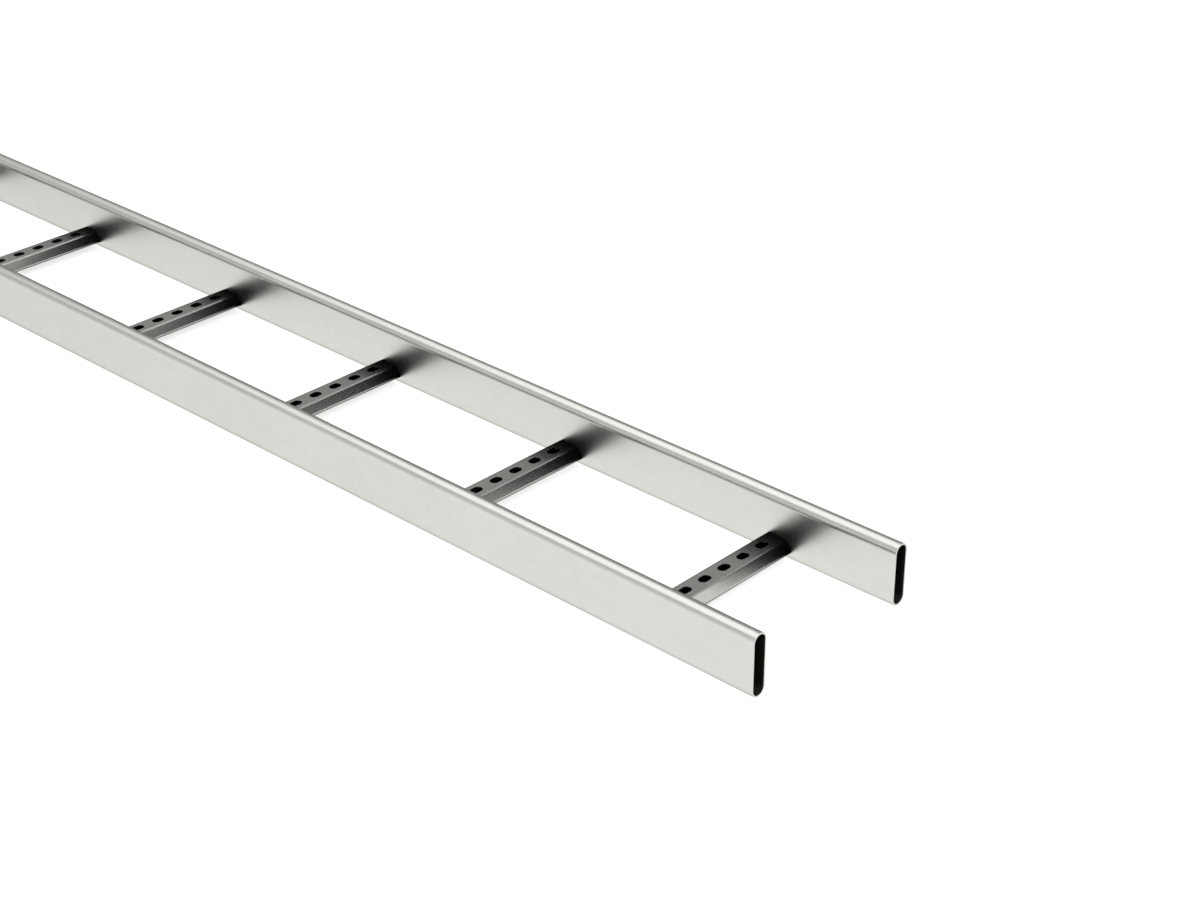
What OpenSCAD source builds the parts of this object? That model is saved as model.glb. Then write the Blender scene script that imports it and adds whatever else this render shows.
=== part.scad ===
// Welded cable ladder section: two flat-oval side rails of tube, joined by slotted channel
// rungs. X runs along the ladder, Y across it and Z up. The origin is at the middle of the
// section, on the level surface that both side rails stand on.

/* [Ladder] */
// Length of the section
section_length = 3000; // [500:250:6000]
// Width over the outside of both side rails
ladder_width = 200; // [100:50:600]
// Distance from the middle of one rung to the middle of the next
rung_spacing = 250; // [150:50:300]

/* [Side rails] */
// Height of a side rail
rail_height = 60; // [50:5:110]
// Thickness of a side rail across its flat sides
rail_thickness = 16; // [12:1:20]
// Wall of the tube that a side rail is made from
rail_wall = 1.5; // [1:0.1:2.5]

/* [Rungs] */
// Width of a rung along the ladder, across its two lower bends
rung_width = 32; // [29:1:40]
// Width of a rung's flat top face, between its two upper bends
rung_flat = 18; // [16:1:20]
// Height of a rung, from the underside of its lips to its top face
rung_height = 12.5; // [10:0.5:20]
// Thickness of the sheet that a rung is bent from
rung_sheet = 1.5; // [1:0.1:2]
// Inner radius of a rung's four long bends
bend_radius = 1; // [0.5:0.1:1.5]
// Width of the opening between a rung's two lips, along its underside
lip_gap = 14; // [8:1:18]
// Height of a rung's underside above the lower edge of the side rails' flat sides
rung_rise = 0.5; // [0:0.5:10]

/* [Slots] */
// Distance from the middle of one slot to the middle of the next
slot_spacing = 25; // [20:1:40]
// Length of a slot, along the rung
slot_length = 13; // [10:1:16]
// Width of a slot, across the rung
slot_width = 9; // [5:1:9]

/* [Hidden] */
$fn = 64;
cut_margin = 1;
flat_height = rail_height - rail_thickness;
rail_centre = (ladder_width - rail_thickness) / 2;
rung_length = ladder_width - 2 * rail_thickness;
rung_count = floor(section_length / rung_spacing);
first_rung = -(rung_count - 1) * rung_spacing / 2;
rung_level = rail_thickness / 2 + rung_rise;
outer_bend = bend_radius + rung_sheet;
foot_bend = [rung_width / 2 - outer_bend, outer_bend];
top_bend = [rung_flat / 2, rung_height - outer_bend];
slot_count = floor(rung_length / slot_spacing);
first_slot = -(slot_count - 1) * slot_spacing / 2;
zinc_bright = [0.86, 0.86, 0.84];
zinc_dull = [0.60, 0.60, 0.59];

function rung_name(i) = str("rung_", i);

// Flat oval, standing on edge: two parallel flats between two half circles.
module flat_oval(thickness, flat) {
    union() {
        square([thickness, flat], center = true);
        for (side = [-1, 1])
            translate([0, side * flat / 2]) circle(d = thickness);
    }
}

// Four sides drawn round four equal circles, two at the foot and two at the top, that lie
// evenly on both sides of the Y axis.
module rounded_trapezium(foot, top, radius) {
    lean = atan((foot[0] - top[0]) / (top[1] - foot[1]));
    to_side = radius * [cos(lean), sin(lean)];
    half = [foot - [0, radius], foot + to_side, top + to_side, top + [0, radius]];
    union() {
        polygon(concat(half, [for (i = [3 : -1 : 0]) [-half[i][0], half[i][1]]]));
        for (side = [-1, 1], centre = [foot, top])
            translate([side * centre[0], centre[1]]) circle(r = radius);
    }
}

// Turns a profile, drawn with its width along X and its height along Y, into a bar that
// runs along the ladder.
module along_ladder(length) {
    rotate([90, 0, 90])
        translate([0, 0, -length / 2])
            linear_extrude(length) children();
}

// The same for a bar that runs across the ladder.
module across_ladder(length) {
    rotate([90, 0, 0])
        translate([0, 0, -length / 2])
            linear_extrude(length) children();
}

// Hollow side rail, open at both ends.
module side_rail(y) {
    color(zinc_bright)
        translate([0, y, rail_height / 2])
            difference() {
                along_ladder(section_length) flat_oval(rail_thickness, flat_height);
                along_ladder(section_length + 2 * cut_margin)
                    flat_oval(rail_thickness - 2 * rail_wall, flat_height);
            }
}

module side_rail_left() {
    side_rail(rail_centre);
}

module side_rail_right() {
    side_rail(-rail_centre);
}

// Sheet bent into a channel with sloping sides and two lips, open between the lips.
module channel_profile() {
    difference() {
        rounded_trapezium(foot_bend, top_bend, outer_bend);
        rounded_trapezium(foot_bend, top_bend, bend_radius);
        translate([-lip_gap / 2, -cut_margin])
            square([lip_gap, rung_height / 2 + cut_margin]);
    }
}

// Round-ended slot through the sheet, with its length along Y.
module slot_cut() {
    depth = rung_sheet + 2 * cut_margin;
    translate([0, 0, -depth / 2])
        linear_extrude(depth) flat_oval(slot_width, slot_length - slot_width);
}

// Slotted channel rung, butted against the inner flats of both side rails.
module rung(i) {
    color(zinc_dull)
        translate([first_rung + (i - 1) * rung_spacing, 0, rung_level])
            difference() {
                across_ladder(rung_length) channel_profile();
                for (k = [0 : slot_count - 1])
                    translate([0, first_slot + k * slot_spacing,
                               rung_height - rung_sheet / 2])
                        slot_cut();
            }
}

side_rail_left();
side_rail_right();
for (i = [1 : rung_count])
    rung(i);
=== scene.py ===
"""The looks of the cable ladder section: zinc on steel, a pale studio and the camera."""
import math

import bpy
from mathutils import Matrix, Vector


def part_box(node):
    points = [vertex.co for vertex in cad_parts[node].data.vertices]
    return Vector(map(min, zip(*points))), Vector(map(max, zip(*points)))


# ---- Sizes and tones: metres, degrees, and linear light where 1 is white ---------------

WHITE = (1.0, 1.0, 1.0, 1.0)

# Camera
CAMERA_PLACE = (2.4349, -1.2675, 1.0392)
CAMERA_AZIMUTH = -43.24
CAMERA_ELEVATION = 28.60
CAMERA_ROLL = -0.26
CAMERA_LENS = 68.68
CAMERA_SENSOR = 36.0

# Floor: what it adds for the camera to the light that falls on it
FLOOR_SIZE = 60.0
FLOOR_COLOUR = (0.8, 0.8, 0.8, 1.0)
FLOOR_GLOW = 0.68

# World: two lamps overhead. Their edges are given where a plane one metre up is met.
LAMP_LIGHT = 1.05
LAMP_INNER_EDGE = (0.1, 0.45)
LAMP_OUTER_EDGE = (1.3, 1.0)
LAMP_SIDE_EDGE = (0.75, 0.6)
LOWEST_RISE = 0.05

# World: walls whose light changes along each axis, between a darkest and a lightest level
WALL_MIDDLE = 0.69
WALL_CHANGE = {"X": 0.27, "Y": -0.29, "Z": -0.7}
WALL_DARKEST = 0.3
WALL_RANGE = 0.7

# Zinc: features per metre, and how much each changes the tone or the roughness
CRYSTALS = 110.0
CLOUDS = 9.0
GRAIN = 900.0
CRYSTAL_TONE = 0.012
CLOUD_TONE = 0.015
CLOUD_ROUGHNESS = 0.02
CLOUD_EDGES = (0.3, 0.7)
GRAIN_STRENGTH = 0.03
GRAIN_DEPTH = 0.0002

# Zinc: colour, roughness, and what is left of its reflection near a grazing angle
# Painted light and shade: one zinc, painted lighter on the rails and darker on the rungs.
RAIL_LIT_COLOUR = (0.768, 0.766, 0.725)
RAIL_ROUGHNESS = 0.32
RUNG_SHADED_COLOUR = (0.68, 0.68, 0.645)
RUNG_ROUGHNESS = 0.26
EDGE_TINT = (0.45, 0.45, 0.45, 1.0)

# Rungs: painted shade beside what stands within reach, from hidden to open surface
SHADE_REACH = 0.06
SHADE_EDGES = (0.35, 0.95)
SHADE_DARKEST = 0.25

# Rungs: half the width that holds the slots, the skin that is their top face, and the painted shade
# below it
SLOT_ROOM = 0.006
TOP_SKIN = 0.0001
SLOT_PAINTED_SHADE = 0.06

# Rungs: the share of its rise that a flank's normal keeps, and the rises where that ends
FLANK_TILT = 0.55
FLANK_RISES = (0.5, 1.0)

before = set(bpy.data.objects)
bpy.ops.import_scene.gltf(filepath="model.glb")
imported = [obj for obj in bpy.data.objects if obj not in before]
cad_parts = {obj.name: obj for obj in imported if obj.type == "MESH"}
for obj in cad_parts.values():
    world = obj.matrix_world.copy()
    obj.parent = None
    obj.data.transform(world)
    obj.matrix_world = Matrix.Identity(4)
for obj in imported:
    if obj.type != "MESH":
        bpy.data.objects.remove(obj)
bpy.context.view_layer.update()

rails = [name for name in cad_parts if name.startswith("side_rail")]
rungs = [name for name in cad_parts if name.startswith("rung")]
rung_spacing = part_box("rung_2")[0][0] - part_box("rung_1")[0][0]
rung_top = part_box("rung_1")[1][2]


# ---- Node helpers ----------------------------------------------------------------------

class Graph:
    """A material's or world's node tree, with short calls to add and join nodes."""

    def __init__(self, owner):
        owner.use_nodes = True
        self.tree = owner.node_tree
        self.tree.nodes.clear()

    def add(self, kind, inputs=None, **settings):
        """Adds a node. An input is a number or colour, or another node's output."""
        node = self.tree.nodes.new(kind)
        for name, value in settings.items():
            setattr(node, name, value)
        for name, value in (inputs or {}).items():
            if isinstance(value, bpy.types.NodeSocket):
                self.tree.links.new(value, node.inputs[name])
            else:
                node.inputs[name].default_value = value
        return node

    def math(self, operation, first, second=0.0, third=0.0, clamp=False):
        """Adds a math node on up to three numbers or outputs."""
        inputs = {0: first, 1: second, 2: third}
        return self.add("ShaderNodeMath", inputs, operation=operation, use_clamp=clamp).outputs[0]

    def fade(self, value, start, end, low=0.0, high=1.0):
        """Goes smoothly from low to high as value goes from start to end."""
        inputs = {"Value": value, "From Min": start, "From Max": end, "To Min": low, "To Max": high}
        node = self.add("ShaderNodeMapRange", inputs, interpolation_type="SMOOTHSTEP")
        return node.outputs["Result"]

    def axes(self, vector):
        """Splits a vector into its X, Y and Z."""
        return self.add("ShaderNodeSeparateXYZ", {"Vector": vector}).outputs

    def finish(self, kind, result):
        """Joins the result to the output: a material's or a world's."""
        output = self.add(kind)
        self.tree.links.new(result, output.inputs["Surface"])


# ---- Materials -------------------------------------------------------------------------

def zinc(name, colour, roughness, rung=False):
    """Galvanised steel: faint crystals in the zinc, soft cloudy patches and a fine grain; on the
    rungs also painted shade in the colour and tilted normals.
    """
    material = bpy.data.materials.new(name)
    graph = Graph(material)
    place = graph.add("ShaderNodeTexCoord").outputs["Object"]
    crystals = graph.add("ShaderNodeTexVoronoi", {"Vector": place, "Scale": CRYSTALS}, feature="F1")
    cloud = graph.add("ShaderNodeTexNoise", {"Vector": place, "Scale": CLOUDS, "Detail": 4.0})
    grain = graph.add("ShaderNodeTexNoise", {"Vector": place, "Scale": GRAIN, "Detail": 2.0})
    crystal = graph.add("ShaderNodeSeparateColor", {"Color": crystals.outputs["Color"]}).outputs[0]
    cloud = cloud.outputs["Fac"]
    tone = graph.math("ADD", graph.fade(crystal, 0.0, 1.0, -CRYSTAL_TONE, CRYSTAL_TONE),
                      graph.fade(cloud, *CLOUD_EDGES, -CLOUD_TONE, CLOUD_TONE))
    factor = graph.math("ADD", tone, 1.0)
    rough = graph.math("ADD", graph.fade(cloud, *CLOUD_EDGES, -CLOUD_ROUGHNESS, CLOUD_ROUGHNESS),
                       roughness)
    bump = {"Height": grain.outputs["Fac"], "Strength": GRAIN_STRENGTH, "Distance": GRAIN_DEPTH}
    if rung:
        # On the rungs the colour carries painted shade, beside the rails and inside the slots.
        factor = graph.math("MULTIPLY", factor, rung_shade(graph, place))
        bump["Normal"] = rung_normal(graph)
    tinted = graph.add("ShaderNodeVectorMath", {0: colour, "Scale": factor}, operation="SCALE")
    shader = graph.add("ShaderNodeBsdfPrincipled", {
        "Base Color": tinted.outputs[0], "Metallic": 1.0, "Roughness": rough,
        "Specular Tint": EDGE_TINT, "Normal": graph.add("ShaderNodeBump", bump).outputs["Normal"]})
    graph.finish("ShaderNodeOutputMaterial", shader.outputs[0])
    return material


def rung_shade(graph, place):
    """Painted shade in the rungs' colour: less light beside the side rails, and hardly any in the
    slots and under the top face.
    """
    # Painted shade: the colour darkens where ambient occlusion finds surfaces within reach.
    hollow = graph.add("ShaderNodeAmbientOcclusion", {"Distance": SHADE_REACH}, samples=8)
    painted_ao_shade = graph.fade(hollow.outputs["AO"], *SHADE_EDGES, SHADE_DARKEST, 1.0)
    axes = graph.axes(place)
    # The rungs' middles lie half a spacing from the frame's middle and a spacing apart.
    off_middle = graph.math("SUBTRACT", rung_spacing / 2,
                            graph.math("PINGPONG", axes["X"], rung_spacing / 2))
    # Painted shade: inside the slots, below the top face, the colour is nearly black.
    in_slot = graph.math("LESS_THAN", off_middle, SLOT_ROOM)
    below_top = graph.math("LESS_THAN", axes["Z"], rung_top - TOP_SKIN)
    slot_shade_mask = graph.math("MULTIPLY", in_slot, below_top)
    return graph.math("MULTIPLY", painted_ao_shade, graph.math("MULTIPLY_ADD", slot_shade_mask, SLOT_PAINTED_SHADE - 1, 1.0))


def rung_normal(graph):
    """Tilts the normals of a rung's flanks, so that they reflect as steeper flanks would."""
    axes = graph.axes(graph.add("ShaderNodeNewGeometry").outputs["Normal"])
    rise = graph.math("MULTIPLY", axes["Z"], graph.fade(axes["Z"], *FLANK_RISES, FLANK_TILT, 1.0))
    tilted = graph.add("ShaderNodeCombineXYZ", {"X": axes["X"], "Y": axes["Y"], "Z": rise})
    unit = graph.add("ShaderNodeVectorMath", {0: tilted.outputs[0]}, operation="NORMALIZE")
    return unit.outputs[0]


def floor_material():
    """White floor, white in the metal too; the camera still sees the shadow on it."""
    material = bpy.data.materials.new("studio_floor")
    graph = Graph(material)
    path = graph.add("ShaderNodeLightPath").outputs
    mirrored = graph.math("MAXIMUM", path["Is Glossy Ray"], path["Is Transmission Ray"])
    shown = graph.math("MULTIPLY_ADD", path["Is Camera Ray"], FLOOR_GLOW, mirrored)
    matt = graph.add("ShaderNodeBsdfDiffuse", {"Color": FLOOR_COLOUR}).outputs[0]
    glow = graph.add("ShaderNodeEmission", {"Color": WHITE, "Strength": shown}).outputs[0]
    both = graph.add("ShaderNodeAddShader", {0: matt, 1: glow})
    graph.finish("ShaderNodeOutputMaterial", both.outputs[0])
    return material


def paint(material, nodes):
    """Gives CAD nodes one material in every slot."""
    for node in nodes:
        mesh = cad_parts[node].data
        mesh.materials.clear()
        mesh.materials.append(material)


# ---- Studio ----------------------------------------------------------------------------

def make_world():
    """Two lamps overhead, between pale walls that darken upwards: the same to every ray."""
    world = bpy.data.worlds.new("studio")
    bpy.context.scene.world = world
    graph = Graph(world)
    axes = graph.axes(graph.add("ShaderNodeTexCoord").outputs["Generated"])
    # Where a plane one metre overhead is met, along and across the ladder.
    steep = graph.math("MAXIMUM", axes["Z"], LOWEST_RISE)
    along = graph.math("ABSOLUTE", graph.math("DIVIDE", axes["X"], steep))
    across = graph.math("ABSOLUTE", graph.math("DIVIDE", axes["Y"], steep))
    lamps = graph.math("MULTIPLY", graph.fade(along, *LAMP_INNER_EDGE),
                       graph.fade(along, *LAMP_OUTER_EDGE))
    lamps = graph.math("MULTIPLY", lamps, graph.fade(across, *LAMP_SIDE_EDGE))
    wall = graph.math("MULTIPLY_ADD", axes["Z"], WALL_CHANGE["Z"], WALL_MIDDLE)
    wall = graph.math("MULTIPLY_ADD", axes["X"], WALL_CHANGE["X"], wall)
    wall = graph.math("MULTIPLY_ADD", axes["Y"], WALL_CHANGE["Y"], wall, clamp=True)
    wall = graph.math("MULTIPLY_ADD", wall, WALL_RANGE, WALL_DARKEST)
    level = graph.math("MULTIPLY_ADD", lamps, LAMP_LIGHT, wall)
    background = graph.add("ShaderNodeBackground", {"Color": WHITE, "Strength": level})
    graph.finish("ShaderNodeOutputWorld", background.outputs[0])


def make_floor():
    mesh = bpy.data.meshes.new("studio_floor")
    half = FLOOR_SIZE / 2
    mesh.from_pydata([(-half, -half, 0), (half, -half, 0), (half, half, 0), (-half, half, 0)],
                     [], [(0, 1, 2, 3)])
    floor = bpy.data.objects.new("studio_floor", mesh)
    floor.data.materials.append(floor_material())
    bpy.context.scene.collection.objects.link(floor)


def make_camera():
    data = bpy.data.cameras.new("camera")
    data.sensor_width = CAMERA_SENSOR
    data.lens = CAMERA_LENS
    camera = bpy.data.objects.new("camera", data)
    turn = (Matrix.Rotation(-math.radians(CAMERA_AZIMUTH), 4, "Z")
            @ Matrix.Rotation(math.radians(90 - CAMERA_ELEVATION), 4, "X")
            @ Matrix.Rotation(math.radians(CAMERA_ROLL), 4, "Z"))
    camera.matrix_world = Matrix.Translation(Vector(CAMERA_PLACE)) @ turn
    bpy.context.scene.collection.objects.link(camera)
    bpy.context.scene.camera = camera


# ---- The scene -------------------------------------------------------------------------

make_camera()
make_world()
make_floor()
paint(zinc("rail_zinc", RAIL_LIT_COLOUR, RAIL_ROUGHNESS), rails)
paint(zinc("rung_zinc", RUNG_SHADED_COLOUR, RUNG_ROUGHNESS, rung=True), rungs)

scene = bpy.context.scene
scene.view_settings.view_transform = "Standard"
# Rails and rungs don't show each other's light: where one mirrors another, it is black.
scene.cycles.glossy_bounces = 0
